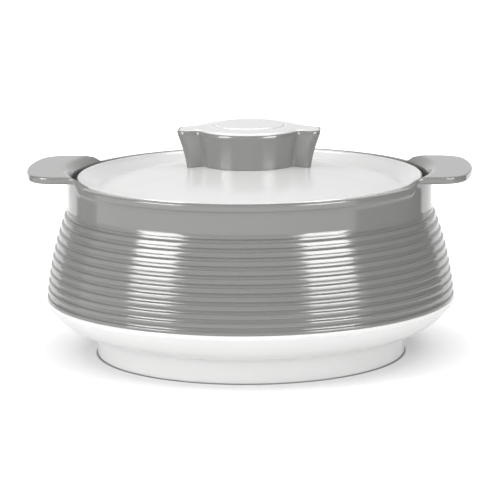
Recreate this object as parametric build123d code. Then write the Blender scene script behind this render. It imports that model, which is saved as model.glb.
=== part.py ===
from build123d import *

import os
from math import acos, cos, hypot, sin, sqrt

# Insulated casserole, in millimetres. +Z is up, the foot stands on Z = 0, the axis of the round body is
# the Z axis, the two ears lie along X and the front faces -Y.

# Heights of the body, each from the one before it, upwards from the surface it stands on
FOOT_HEIGHT = 14.3
DISH_RISE = 20.7
RIBBED_RISE = 51.0
NECK_RISE = 21.9
EAR_RISE = 5.0

# Radii of the body; a step is the distance from one radius to the next
NECK_RADIUS = 109.6
NECK_CURVE_STEP = 1.4
NECK_CURVE_RISE = 5.5
FLARE_STEP = 11.5
SEAM_STEP = 0.5
FOOT_STEP = 30.0
RIM_STEP = 0.7
RIM_WALL = 3.0
FLARE_ARC_RADIUS = 186.0
DISH_ARC_RADIUS = 40.5

# Ribs round the body
RIB_PITCH = 4.9
RIB_CREST_SHARE = 0.54
RIB_RISE = 0.45
RIB_DIP = 0.25
RIB_MIN_HEIGHT = 0.5

# Ears
EAR_LENGTH = 24.1
EAR_WIDTH = 86.4
EAR_THICKNESS = 4.2
EAR_CORNER_RADIUS = 16.5
EAR_NOSE_DROP = 8.05
EAR_ROOT_RADIUS = 7.0
EAR_RAMP = 5.2
EAR_RAMP_BULGE = 0.8
FLANK_INSET = 0.5
FLANK_RUN = 9.5
BAND_EDGE_RADIUS = 1.2

# Walls and clearances
SHELL_WALL = 2.4
DISH_WALL = 2.4
LID_WALL = 2.2
STEEL = 0.6
FOAM_GAP = 0.2
SNAP_GAP = 0.2
SEAT_GAP = 0.1

# Seam between the body and the base dish
LIP_DEPTH = 1.8
GROOVE_DEPTH = 0.5
GROOVE_HEIGHT = 0.6
SPIGOT_HEIGHT = 6.0

# Steel bowl
BOWL_INSET = 12.0
BOWL_DRAFT = 6.6
BOWL_FLOOR_FOAM = 12.1
BOWL_CORNER_RADIUS = 14.0
BOWL_BEND_RADIUS = 1.8
BOWL_FLANGE_GAP = 0.6

# Lid
LID_GAP = 3.0
LID_LIP_DROP = 0.5
LID_LIP_WIDTH = 2.2
LID_LIP_RISE = 5.1
LID_COVE_WIDTH = 12.6
LID_COVE_SAG = 1.1
LID_SHOULDER_WIDTH = 3.5
LID_SHOULDER_RISE = 1.1
DOME_RISE = 12.3
GASKET_HEIGHT = 1.6
GASKET_WIDTH = 3.2
GASKET_EDGE_RADIUS = 0.5
LINER_WALL = 2.0
LINER_DEPTH = 12.0
LINER_GAP = 1.4
LINER_SEAT_GAP = 0.3
LINER_DRAFT = 1.0
LINER_CORNER_RADIUS = 6.0
LINER_RIB_RADII = (34.0, 66.0)
LINER_RIB_WIDTH = 2.4
LINER_RIB_DEPTH = 1.2
HUB_RADIUS = 24.0
HUB_DEPTH = 1.4

# Knob
KNOB_RISE = 19.8
KNOB_TOP_RADIUS = 32.3
KNOB_FOOT_RADIUS = 29.5
WING_TOP_LENGTH = 10.6
WING_FOOT_LENGTH = 8.4
WING_TOP_ROOT_WIDTH = 25.2
WING_TOP_TIP_WIDTH = 16.2
WING_FOOT_ROOT_WIDTH = 28.2
WING_FOOT_TIP_WIDTH = 21.8
FLUTE_TOP_RADIUS = 12.0
FLUTE_FOOT_RADIUS = 6.0
WING_TOP_CORNER_RADIUS = 4.5
WING_FOOT_CORNER_RADIUS = 3.4
KNOB_EDGE_CHAMFER = 1.1
KNOB_WALL = 2.4
KNOB_LIP = 1.4
KNOB_FLOOR = 3.0
CAP_SEAT_DEPTH = 2.2
CAP_EDGE_DROP = 0.1
CAP_RISE = 2.5
CAP_RING_RADIUS = 24.0
CAP_RING_BEVEL = 1.6
CAP_RING_DROP = 0.3
DISC_RADIUS = 21.0
DISC_THICKNESS = 1.8
DISC_STAND = 0.8
DISC_EDGE_RADIUS = 0.6

# Fasteners and filling plugs
SCREW_SPACING = 28.0
SCREW_RADIUS = 1.5
SCREW_LENGTH = 14.0
SCREW_HEAD_RADIUS = 3.4
SCREW_HEAD_HEIGHT = 2.2
SCREW_HEAD_EDGE_RADIUS = 1.1
SCREW_SLOT_WIDTH = 0.8
PILOT_GAP = 0.1
PILOT_RUNOUT = 2.0
SCREW_HOLE_GAP = 0.4
WASHER_RADIUS = 4.6
WASHER_HEIGHT = 0.8
BOSS_RADIUS = 4.2
PLUG_RADIUS = 7.0
PLUG_HEAD_RADIUS = 9.0
PLUG_HEAD_HEIGHT = 1.4
PLUG_GAP = 0.1

# An edge or corner this near to a computed place is the one meant
PICK_TOLERANCE = 0.1

# Heights that follow from the sizes above
SEAM_HEIGHT = FOOT_HEIGHT + DISH_RISE
RIB_TOP_HEIGHT = SEAM_HEIGHT + RIBBED_RISE
RIM_HEIGHT = RIB_TOP_HEIGHT + NECK_RISE
EAR_HEIGHT = RIM_HEIGHT + EAR_RISE
FOOT_WALL_TOP = FOOT_HEIGHT - DISH_WALL
BOWL_FLOOR_HEIGHT = FOOT_HEIGHT + BOWL_FLOOR_FOAM + STEEL
LID_LIP_HEIGHT = RIM_HEIGHT - LID_LIP_DROP
LID_CHANNEL_HEIGHT = LID_LIP_HEIGHT - LID_LIP_RISE
LINER_FLANGE_TOP = LID_CHANNEL_HEIGHT - LID_WALL - LINER_SEAT_GAP
LINER_FLANGE_BOTTOM = LINER_FLANGE_TOP - LINER_WALL
LINER_BOTTOM = LINER_FLANGE_BOTTOM - LINER_DEPTH
FLANGE_TOP = LINER_FLANGE_BOTTOM - GASKET_HEIGHT
LEDGE_HEIGHT = FLANGE_TOP - STEEL
LID_SHOULDER_HEIGHT = LID_CHANNEL_HEIGHT + LID_SHOULDER_RISE
DOME_HEIGHT = LID_SHOULDER_HEIGHT + DOME_RISE
HUB_BOTTOM = DOME_HEIGHT - LID_WALL - HUB_DEPTH
SCREW_HEAD_TOP = HUB_BOTTOM - WASHER_HEIGHT
SCREW_END = SCREW_HEAD_TOP + SCREW_LENGTH
BOSS_TOP = SCREW_END + PILOT_RUNOUT + KNOB_WALL
KNOB_HEIGHT = DOME_HEIGHT + KNOB_RISE
CAP_SEAT_HEIGHT = KNOB_HEIGHT - CAP_SEAT_DEPTH
CAP_CREST_HEIGHT = KNOB_HEIGHT + CAP_RISE
DISC_HEIGHT = CAP_CREST_HEIGHT + DISC_STAND
TALL = 2 * DISC_HEIGHT

# Radii and reaches that follow
RIB_TOP_RADIUS = NECK_RADIUS + NECK_CURVE_STEP
FLARE_END_RADIUS = RIB_TOP_RADIUS + FLARE_STEP
BODY_RADIUS = FLARE_END_RADIUS + SEAM_STEP
FOOT_RADIUS = BODY_RADIUS - FOOT_STEP
RIM_RADIUS = NECK_RADIUS + RIM_STEP
RIM_OPENING_RADIUS = NECK_RADIUS - RIM_WALL
EAR_REACH = NECK_RADIUS + EAR_LENGTH
BOWL_MOUTH_RADIUS = NECK_RADIUS - BOWL_INSET
BOWL_FLOOR_RADIUS = BOWL_MOUTH_RADIUS - BOWL_DRAFT
LID_RADIUS = RIM_OPENING_RADIUS - LID_GAP
LID_SKIRT_INNER_RADIUS = LID_RADIUS - LID_WALL
LID_CHANNEL_RADIUS = LID_RADIUS - LID_COVE_WIDTH
LID_SHOULDER_RADIUS = LID_CHANNEL_RADIUS - LID_SHOULDER_WIDTH
DOME_RADIUS = (LID_SHOULDER_RADIUS**2 + DOME_RISE**2) / (2 * DOME_RISE)
LINER_RADIUS = BOWL_MOUTH_RADIUS - LINER_GAP
WING_TOP_REACH = KNOB_TOP_RADIUS + WING_TOP_LENGTH
WING_FOOT_REACH = KNOB_FOOT_RADIUS + WING_FOOT_LENGTH
WIDE = 2 * EAR_REACH


def arc_centre(start, end, radius):
    """Centre of the arc from start to end that bulges away from the axis, both as (radius, height)."""
    middle_r, middle_z = (start[0] + end[0]) / 2, (start[1] + end[1]) / 2
    along_r, along_z = end[0] - start[0], end[1] - start[1]
    half = hypot(along_r, along_z) / 2
    reach = sqrt(radius**2 - half**2) / (2 * half)
    return middle_r + along_z * reach, middle_z - along_r * reach


FLARE_START = (RIB_TOP_RADIUS, RIB_TOP_HEIGHT)
FLARE_END = (FLARE_END_RADIUS, SEAM_HEIGHT)
FLARE_CENTRE = arc_centre(FLARE_START, FLARE_END, FLARE_ARC_RADIUS)
DISH_START = (BODY_RADIUS, SEAM_HEIGHT - LIP_DEPTH - GROOVE_HEIGHT)
DISH_END = (FOOT_RADIUS, FOOT_HEIGHT)
DISH_CENTRE = arc_centre(DISH_START, DISH_END, DISH_ARC_RADIUS)


def flare(height, inset=0.0):
    """Point of the flared wall at a height, moved inwards by inset."""
    radius = FLARE_ARC_RADIUS - inset
    return FLARE_CENTRE[0] + sqrt(radius**2 - (height - FLARE_CENTRE[1]) ** 2), height


def dish_arc(radius, inset=0.0):
    """Point of the dish's curved wall at a radius, moved inwards by inset."""
    curve = DISH_ARC_RADIUS - inset
    return radius, DISH_CENTRE[1] - sqrt(curve**2 - (radius - DISH_CENTRE[0]) ** 2)


def towards(point, centre, distance):
    """A point moved by a distance towards a centre."""
    length = hypot(centre[0] - point[0], centre[1] - point[1])
    return tuple(p + (c - p) * distance / length for p, c in zip(point, centre))


def arc(start, end, centre, radius):
    """Arc between two points of a circle, through the side that faces away from its centre."""
    chord_middle = ((start[0] + end[0]) / 2, (start[1] + end[1]) / 2)
    reach = hypot(chord_middle[0] - centre[0], chord_middle[1] - centre[1])
    return ThreePointArc(start, towards(chord_middle, centre, reach - radius), end)


def sagged(start, end, sag):
    """Middle of the line from start to end, moved by sag to the left of that direction."""
    along_r, along_z = end[0] - start[0], end[1] - start[1]
    share = sag / hypot(along_r, along_z)
    return (start[0] + end[0]) / 2 - along_z * share, (start[1] + end[1]) / 2 + along_r * share


def turned(*edges):
    """Solid of revolution about Z, from a closed outline of (radius, height) edges."""
    return revolve(Plane.XZ * make_face(Wire.combine([e for part in edges for e in part.edges()])[0]), Axis.Z)


def ring(inner, outer, low, high):
    """Plain ring between two radii and two heights, or a disc where inner is 0."""
    solid = Pos(0, 0, low) * extrude(Circle(outer), high - low)
    if inner > 0:
        solid -= Pos(0, 0, low) * extrude(Circle(inner), high - low)
    return solid


def vessel(mouth, floor, top, bottom, corner):
    """Solid of the inside or outside of a pan: a cone with a rounded lower corner."""
    half = make_face(Polyline((0, bottom), (floor, bottom), (mouth, top), (0, top), close=True))
    corner_vertex = half.vertices().sort_by(Axis.Y)[:2].sort_by(Axis.X)[-1]
    return revolve(Plane.XZ * fillet(corner_vertex, corner), Axis.Z)


def rib_edges():
    """Crests and hollows of the ribs, from the neck down to the seam."""
    steps = ((RIB_PITCH * RIB_CREST_SHARE, RIB_RISE), (RIB_PITCH * (1 - RIB_CREST_SHARE), -RIB_DIP))
    height = RIB_TOP_HEIGHT
    edges = []
    while height > SEAM_HEIGHT:
        step, swell = steps[len(edges) % 2]
        next_height = height - step
        if next_height < SEAM_HEIGHT + RIB_MIN_HEIGHT:
            next_height = SEAM_HEIGHT
        middle = flare((height + next_height) / 2, -swell)
        edges.append(ThreePointArc(flare(height), middle, flare(next_height)))
        height = next_height
    return edges


def shell_wall():
    """Neck, ribbed wall, and the ledge inside the neck that carries the steel bowl."""
    neck_inner = NECK_RADIUS - SHELL_WALL
    neck_top = RIM_HEIGHT - EAR_THICKNESS / 2
    inner_low = flare(SEAM_HEIGHT, SHELL_WALL)
    inner_high = flare(RIB_TOP_HEIGHT, SHELL_WALL)
    ledge_inner = BOWL_MOUTH_RADIUS + STEEL + 2 * BOWL_BEND_RADIUS
    curve_top = (NECK_RADIUS, RIB_TOP_HEIGHT + NECK_CURVE_RISE)
    return turned(
        Polyline((RIM_OPENING_RADIUS, neck_top), (NECK_RADIUS, neck_top), curve_top),
        TangentArc(curve_top, FLARE_START, tangent=(0, -1)),
        *rib_edges(),
        Line(flare(SEAM_HEIGHT), inner_low),
        arc(inner_low, inner_high, FLARE_CENTRE, FLARE_ARC_RADIUS - SHELL_WALL),
        Polyline(
            inner_high,
            (neck_inner, LEDGE_HEIGHT - SHELL_WALL),
            (ledge_inner, LEDGE_HEIGHT - SHELL_WALL),
            (ledge_inner, LEDGE_HEIGHT),
            (RIM_OPENING_RADIUS, LEDGE_HEIGHT),
            (RIM_OPENING_RADIUS, neck_top),
        ),
    )


def ear_plan():
    """Outline of the rim and both ears, seen from above."""
    half, corner_x = EAR_WIDTH / 2, EAR_REACH - EAR_NOSE_DROP
    tongue = make_face(
        Polyline((0, -half), (corner_x, -half))
        + ThreePointArc((corner_x, -half), (EAR_REACH, 0), (corner_x, half))
        + Polyline((corner_x, half), (0, half), (0, -half))
    )
    tongue = fillet(tongue.vertices().sort_by(Axis.X)[-2:], EAR_CORNER_RADIUS)
    plan = Circle(RIM_RADIUS) + tongue + Rot(0, 0, 180) * tongue
    roots = plan.vertices().filter_by(lambda v: abs(hypot(v.X, v.Y) - RIM_RADIUS) < PICK_TOLERANCE)
    return fillet(roots, EAR_ROOT_RADIUS)


def band_top_edges(drop):
    """Top line of the rim band, seen along X: level, S-shaped flank, ear, flank, level; lowered by drop."""
    high, low, middle = EAR_HEIGHT - drop, RIM_HEIGHT - drop, (EAR_HEIGHT + RIM_HEIGHT) / 2 - drop
    ear_end = EAR_WIDTH / 2 - FLANK_INSET
    half_run = FLANK_RUN / 2
    edges = []
    for side in (-1, 1):
        crest = (side * ear_end, high)
        centre = (side * (ear_end + half_run), middle)
        toe = (side * (ear_end + FLANK_RUN), low)
        bend = (half_run**2 + (EAR_RISE / 2) ** 2) / EAR_RISE
        turn = acos(1 - EAR_RISE / 2 / bend) / 2
        sag, reach = bend * (1 - cos(turn)), bend * sin(turn)
        edges.append(ThreePointArc(crest, (crest[0] + side * reach, high - sag), centre))
        edges.append(ThreePointArc(centre, (toe[0] - side * reach, low + sag), toe))
        edges.append(Line(toe, (side * WIDE, low)))
    edges.append(Line((-ear_end, high), (ear_end, high)))
    return edges, low


def above_band(drop):
    """Everything above the band's top line, lowered by drop."""
    edges, low = band_top_edges(drop)
    closing = Polyline((WIDE, low), (WIDE, TALL), (-WIDE, TALL), (-WIDE, low))
    face = make_face(Wire.combine([e for part in edges + [closing] for e in part.edges()])[0])
    return extrude(Plane.YZ * face, WIDE, both=True)


def ear_ramp():
    """Space above the ramp that leads from the rim's inner edge up to the ears."""
    inner = RIM_OPENING_RADIUS - LID_GAP / 2
    outer = RIM_OPENING_RADIUS + EAR_RAMP
    foot, top = (RIM_OPENING_RADIUS, RIM_HEIGHT), (outer, EAR_HEIGHT)
    return turned(
        Line((inner, RIM_HEIGHT), foot),
        ThreePointArc(foot, sagged(foot, top, EAR_RAMP_BULGE), top),
        Polyline((outer, EAR_HEIGHT), (outer, TALL), (inner, TALL), (inner, RIM_HEIGHT)),
    )


def on_band_outside(edge):
    """True for the upper and lower edges along the outside of the rim and the ears."""
    points = [edge @ 0, edge @ 0.5, edge @ 1]
    outside = all(hypot(point.X, point.Y) > RIM_RADIUS - PICK_TOLERANCE for point in points)
    upright = abs((edge % 0.5).Z) > 1 - PICK_TOLERANCE
    return outside and not upright


def rim_band():
    """Rim and ears as one band of even thickness with rounded outer edges."""
    band = extrude(ear_plan(), EAR_HEIGHT) - above_band(0)
    band &= above_band(EAR_THICKNESS)
    band -= ring(0, RIM_OPENING_RADIUS, 0, TALL)
    return fillet(band.edges().filter_by(on_band_outside), BAND_EDGE_RADIUS)


def outer_body():
    """Grey moulding: ribbed wall, neck and rim, and the two ears that grow out of the rim."""
    neck = ring(RIM_OPENING_RADIUS, NECK_RADIUS, LEDGE_HEIGHT, EAR_HEIGHT) - above_band(EAR_THICKNESS / 2)
    return shell_wall() + (neck + rim_band() - ear_ramp())


def inner_bowl():
    """Pressed steel bowl that hangs by its flange from the ledge."""
    bowl = vessel(
        BOWL_MOUTH_RADIUS + STEEL,
        BOWL_FLOOR_RADIUS + STEEL,
        FLANGE_TOP,
        BOWL_FLOOR_HEIGHT - STEEL,
        BOWL_CORNER_RADIUS + STEEL,
    )
    bowl += ring(0, RIM_OPENING_RADIUS - BOWL_FLANGE_GAP, LEDGE_HEIGHT, FLANGE_TOP)
    bowl -= vessel(BOWL_MOUTH_RADIUS, BOWL_FLOOR_RADIUS, FLANGE_TOP, BOWL_FLOOR_HEIGHT, BOWL_CORNER_RADIUS)
    circles = bowl.edges().filter_by(GeomType.CIRCLE)
    mouth = circles.filter_by(lambda edge: abs(edge.radius - BOWL_MOUTH_RADIUS) < PICK_TOLERANCE)
    return fillet(mouth, BOWL_BEND_RADIUS)


def base_dish():
    """White dish with its foot ring, and the spigot that snaps into the grey body."""
    inner_end = towards(DISH_END, DISH_CENTRE, DISH_WALL)
    lip_bottom = SEAM_HEIGHT - LIP_DEPTH
    spigot_low = flare(SEAM_HEIGHT, SHELL_WALL + SNAP_GAP)
    spigot_high = flare(SEAM_HEIGHT + SPIGOT_HEIGHT, SHELL_WALL + SNAP_GAP)
    spigot_inner = spigot_high[0] - DISH_WALL
    inner_start = dish_arc(spigot_inner, DISH_WALL)
    return turned(
        Polyline((PLUG_RADIUS + PLUG_GAP, FOOT_WALL_TOP), (FOOT_RADIUS - DISH_WALL, FOOT_WALL_TOP)),
        Polyline(
            (FOOT_RADIUS - DISH_WALL, FOOT_WALL_TOP),
            (FOOT_RADIUS - DISH_WALL, 0),
            (FOOT_RADIUS, 0),
            DISH_END,
        ),
        arc(DISH_END, DISH_START, DISH_CENTRE, DISH_ARC_RADIUS),
        Polyline(
            DISH_START,
            (BODY_RADIUS - GROOVE_DEPTH, lip_bottom - GROOVE_HEIGHT / 2),
            (BODY_RADIUS, lip_bottom),
            (BODY_RADIUS, SEAM_HEIGHT),
            spigot_low,
            spigot_high,
            (spigot_inner, SEAM_HEIGHT + SPIGOT_HEIGHT),
            inner_start,
        ),
        arc(inner_start, inner_end, DISH_CENTRE, DISH_ARC_RADIUS - DISH_WALL),
        Polyline(
            inner_end,
            (FOOT_RADIUS - DISH_WALL, FOOT_HEIGHT),
            (PLUG_RADIUS + PLUG_GAP, FOOT_HEIGHT),
            (PLUG_RADIUS + PLUG_GAP, FOOT_WALL_TOP),
        ),
    )


def body_foam():
    """Insulating foam that fills the space between the steel bowl, the body and the dish."""
    inset = SHELL_WALL + FOAM_GAP
    dish_inset = DISH_WALL + FOAM_GAP
    spigot_top = SEAM_HEIGHT + SPIGOT_HEIGHT
    low_radius = flare(spigot_top, SHELL_WALL + SNAP_GAP)[0] - dish_inset
    dish_end = towards(DISH_END, DISH_CENTRE, dish_inset)
    dish_start = dish_arc(low_radius, dish_inset)
    wall_low = flare(spigot_top + FOAM_GAP, inset)
    wall_high = flare(RIB_TOP_HEIGHT, inset)
    floor = FOOT_HEIGHT + FOAM_GAP
    top = LEDGE_HEIGHT - SHELL_WALL - FOAM_GAP
    block = turned(
        Polyline((0, floor), (FOOT_RADIUS - dish_inset, floor), dish_end),
        arc(dish_end, dish_start, DISH_CENTRE, DISH_ARC_RADIUS - dish_inset),
        Polyline(dish_start, (low_radius, spigot_top + FOAM_GAP), wall_low),
        arc(wall_low, wall_high, FLARE_CENTRE, FLARE_ARC_RADIUS - inset),
        Polyline(wall_high, (NECK_RADIUS - inset, top), (0, top), (0, floor)),
    )
    gap = STEEL + FOAM_GAP
    return block - vessel(
        BOWL_MOUTH_RADIUS + gap,
        BOWL_FLOOR_RADIUS + gap,
        FLANGE_TOP,
        BOWL_FLOOR_HEIGHT - gap,
        BOWL_CORNER_RADIUS + gap,
    )


def dome(inset=0.0):
    """Ball whose top is the lid's dome, moved inwards by inset."""
    return Pos(0, 0, DOME_HEIGHT - DOME_RADIUS) * Sphere(DOME_RADIUS - inset)


def dome_height(radius):
    """Height of the lid's dome at a radius."""
    return DOME_HEIGHT - DOME_RADIUS + sqrt(DOME_RADIUS**2 - radius**2)


def at_screws(solid):
    """One copy of a solid at each knob screw."""
    return [Pos(side * SCREW_SPACING / 2, 0, 0) * solid for side in (-1, 1)]


def lid_cover():
    """White lid: outer skirt and lip, hollow channel, and the dome that carries the knob."""
    lip_inner = LID_RADIUS - LID_LIP_WIDTH
    lip_side = LID_LIP_HEIGHT - LID_LIP_WIDTH / 2
    channel = (LID_CHANNEL_RADIUS, LID_CHANNEL_HEIGHT)
    under = LID_CHANNEL_HEIGHT - LID_WALL
    blank = turned(
        Polyline(
            (LID_SKIRT_INNER_RADIUS, LINER_FLANGE_BOTTOM),
            (LID_RADIUS, LINER_FLANGE_BOTTOM),
            (LID_RADIUS, lip_side),
        ),
        ThreePointArc(
            (LID_RADIUS, lip_side), (LID_RADIUS - LID_LIP_WIDTH / 2, LID_LIP_HEIGHT), (lip_inner, lip_side)
        ),
        ThreePointArc((lip_inner, lip_side), sagged((lip_inner, lip_side), channel, LID_COVE_SAG), channel),
        Polyline(
            channel,
            (LID_SHOULDER_RADIUS, LID_SHOULDER_HEIGHT),
            (LID_SHOULDER_RADIUS, TALL),
            (0, TALL),
            (0, under),
            (LID_SKIRT_INNER_RADIUS, under),
            (LID_SKIRT_INNER_RADIUS, LINER_FLANGE_BOTTOM),
        ),
    )
    hollow = dome(LID_WALL) & ring(0, LID_SHOULDER_RADIUS - LID_WALL, 0, TALL)
    cover = (blank & dome() + ring(LID_SHOULDER_RADIUS, LID_RADIUS, 0, TALL)) - hollow
    cover += ring(0, HUB_RADIUS, HUB_BOTTOM, DOME_HEIGHT) & dome()
    cover -= ring(0, PLUG_RADIUS + PLUG_GAP, 0, TALL)
    return cover - at_screws(ring(0, SCREW_RADIUS + SCREW_HOLE_GAP, 0, TALL))


def lid_liner():
    """White inner dish of the lid, whose flange fits inside the skirt."""
    top, bottom = LINER_FLANGE_TOP, LINER_BOTTOM
    floor_radius = LINER_RADIUS - LINER_DRAFT
    liner = vessel(LINER_RADIUS, floor_radius, top, bottom, LINER_CORNER_RADIUS)
    liner += ring(0, LID_SKIRT_INNER_RADIUS - SNAP_GAP, LINER_FLANGE_BOTTOM, top)
    for radius in LINER_RIB_RADII:
        liner += ring(radius, radius + LINER_RIB_WIDTH, bottom - LINER_RIB_DEPTH, bottom)
    return liner - vessel(
        LINER_RADIUS - LINER_WALL,
        floor_radius - LINER_WALL,
        top,
        bottom + LINER_WALL,
        LINER_CORNER_RADIUS - LINER_WALL,
    )


def lid_foam():
    """Insulating foam between the lid's cover and its liner."""
    gap = LINER_WALL + FOAM_GAP
    floor_radius = LINER_RADIUS - LINER_DRAFT - gap
    corner = LINER_CORNER_RADIUS - gap
    foam = vessel(LINER_RADIUS - gap, floor_radius, LINER_FLANGE_TOP, LINER_BOTTOM + gap, corner)
    dome_fill_radius = LID_SHOULDER_RADIUS - LID_WALL - FOAM_GAP
    foam += dome(LID_WALL + FOAM_GAP) & ring(0, dome_fill_radius, LINER_FLANGE_BOTTOM, TALL)
    return foam - ring(0, HUB_RADIUS + FOAM_GAP, SCREW_HEAD_TOP - SCREW_HEAD_HEIGHT - FOAM_GAP, TALL)


def lid_gasket():
    """Silicone ring under the lid's edge, which sits on the bowl's flange."""
    outer = LID_RADIUS - SNAP_GAP
    blank = ring(outer - GASKET_WIDTH, outer, FLANGE_TOP, LINER_FLANGE_BOTTOM)
    return fillet(blank.edges().group_by(Axis.Z)[0], GASKET_EDGE_RADIUS)


def filling_plug(seat_height, length, head_above):
    """Round plug with a flat head that closes a foam filling hole; the shank runs from the seat."""
    low, high = (seat_height - length, seat_height) if head_above else (seat_height, seat_height + length)
    head_low = high if head_above else low - PLUG_HEAD_HEIGHT
    return ring(0, PLUG_RADIUS, low, high) + ring(0, PLUG_HEAD_RADIUS, head_low, head_low + PLUG_HEAD_HEIGHT)


def knob_outline(radius, reach, root, tip, flute, corner, inset=0.0):
    """Round middle with a tapering wing at each end along X, seen from above, moved inwards by inset."""
    slope = (root - tip) / 2 / (reach - radius)
    flank = inset * hypot(1, slope)
    end, half_tip = reach - inset, tip / 2 + slope * inset - flank
    half_middle = root / 2 + slope * radius - flank
    right = ((0, -half_middle), (end, -half_tip), (end, half_tip), (0, half_middle))
    left = ((-end, half_tip), (-end, -half_tip))
    wings = make_face(Polyline(*right, *left, close=True))
    corners = wings.vertices().filter_by(lambda v: abs(v.X) > PICK_TOLERANCE)
    outline = Circle(radius - inset) + fillet(corners, max(corner - inset, corner / 2))
    roots = outline.vertices().filter_by(lambda v: abs(hypot(v.X, v.Y) - radius + inset) < PICK_TOLERANCE)
    return fillet(roots, flute + inset)


def top_outline(inset=0.0):
    """Outline of the knob at its top edge, moved inwards by inset."""
    return knob_outline(
        KNOB_TOP_RADIUS,
        WING_TOP_REACH,
        WING_TOP_ROOT_WIDTH,
        WING_TOP_TIP_WIDTH,
        FLUTE_TOP_RADIUS,
        WING_TOP_CORNER_RADIUS,
        inset,
    )


def foot_outline(inset=0.0):
    """Outline of the knob where it meets the lid, moved inwards by inset."""
    return knob_outline(
        KNOB_FOOT_RADIUS,
        WING_FOOT_REACH,
        WING_FOOT_ROOT_WIDTH,
        WING_FOOT_TIP_WIDTH,
        FLUTE_FOOT_RADIUS,
        WING_FOOT_CORNER_RADIUS,
        inset,
    )


def knob_body():
    """Grey grip of the lid: a hollow tapered body with a floor, two screw bosses and a seat for the cap."""
    foot_height = dome_height(hypot(WING_FOOT_REACH, WING_FOOT_TIP_WIDTH / 2))
    floor_top = DOME_HEIGHT + KNOB_FLOOR
    body = loft([Pos(0, 0, foot_height) * foot_outline(), Pos(0, 0, KNOB_HEIGHT) * top_outline()])
    body = chamfer(body.edges().group_by(Axis.Z)[-1], KNOB_EDGE_CHAMFER)
    hollow_low = Pos(0, 0, floor_top) * foot_outline(KNOB_WALL)
    hollow_high = Pos(0, 0, CAP_SEAT_HEIGHT) * top_outline(KNOB_WALL + KNOB_LIP)
    body -= loft([hollow_low, hollow_high])
    body -= Pos(0, 0, CAP_SEAT_HEIGHT) * extrude(top_outline(KNOB_LIP), CAP_SEAT_DEPTH)
    body += at_screws(ring(0, BOSS_RADIUS, DOME_HEIGHT, BOSS_TOP))
    body -= at_screws(ring(0, SCREW_RADIUS + PILOT_GAP, 0, SCREW_END + PILOT_RUNOUT))
    body -= ring(0, PLUG_HEAD_RADIUS + SCREW_HOLE_GAP, 0, floor_top)
    return body - dome(-SEAT_GAP)


def knob_cap():
    """White insert that closes the top of the knob, with a raised ring for the disc."""
    edge_height = KNOB_HEIGHT - CAP_EDGE_DROP
    disc_floor = DISC_HEIGHT - DISC_THICKNESS
    plate = Pos(0, 0, CAP_SEAT_HEIGHT) * extrude(top_outline(KNOB_LIP + SEAT_GAP), KNOB_RISE)
    crown = turned(
        Polyline(
            (0, CAP_SEAT_HEIGHT),
            (WIDE, CAP_SEAT_HEIGHT),
            (WIDE, edge_height),
            (WING_TOP_REACH, edge_height),
            (CAP_RING_RADIUS, CAP_CREST_HEIGHT - CAP_RING_DROP),
            (CAP_RING_RADIUS - CAP_RING_BEVEL, CAP_CREST_HEIGHT),
            (DISC_RADIUS, CAP_CREST_HEIGHT),
            (DISC_RADIUS, disc_floor),
            (0, disc_floor),
            (0, CAP_SEAT_HEIGHT),
        )
    )
    return plate & crown


def knob_disc():
    """White round badge set into the cap, left bare."""
    disc = ring(0, DISC_RADIUS - SEAT_GAP, DISC_HEIGHT - DISC_THICKNESS, DISC_HEIGHT)
    return fillet(disc.edges().group_by(Axis.Z)[-1], DISC_EDGE_RADIUS)


def knob_screws():
    """Two screws that hold the knob, driven upwards from under the lid's cover."""
    head_bottom = SCREW_HEAD_TOP - SCREW_HEAD_HEIGHT
    screw = ring(0, SCREW_HEAD_RADIUS, head_bottom, SCREW_HEAD_TOP)
    screw = fillet(screw.edges().group_by(Axis.Z)[0], SCREW_HEAD_EDGE_RADIUS)
    screw += ring(0, SCREW_RADIUS, SCREW_HEAD_TOP, SCREW_END)
    slot = Pos(0, 0, head_bottom) * Box(2 * SCREW_HEAD_RADIUS, SCREW_SLOT_WIDTH, 2 * SCREW_SLOT_WIDTH)
    return Compound(children=at_screws(screw - slot))


def knob_washers():
    """Two washers between the screw heads and the hub of the lid's cover."""
    washer = ring(SCREW_RADIUS + SCREW_HOLE_GAP / 2, WASHER_RADIUS, SCREW_HEAD_TOP, HUB_BOTTOM)
    return Compound(children=at_screws(washer))


def base_fill_plug():
    """Plug in the middle of the dish, pushed in from below."""
    return filling_plug(FOOT_WALL_TOP, DISH_WALL, head_above=False)


def lid_fill_plug():
    """Plug in the middle of the lid's cover, pushed in from above and hidden by the knob."""
    return filling_plug(DOME_HEIGHT, LID_WALL + HUB_DEPTH, head_above=True)


PARTS = {
    "outer_body": outer_body,
    "inner_bowl": inner_bowl,
    "body_foam": body_foam,
    "base_dish": base_dish,
    "base_fill_plug": base_fill_plug,
    "lid_cover": lid_cover,
    "lid_liner": lid_liner,
    "lid_foam": lid_foam,
    "lid_gasket": lid_gasket,
    "lid_fill_plug": lid_fill_plug,
    "knob_body": knob_body,
    "knob_cap": knob_cap,
    "knob_disc": knob_disc,
    "knob_screws": knob_screws,
    "knob_washers": knob_washers,
}

os.makedirs("parts", exist_ok=True)
for name, make in PARTS.items():
    export_step(make(), f"parts/{name}.step")
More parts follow.
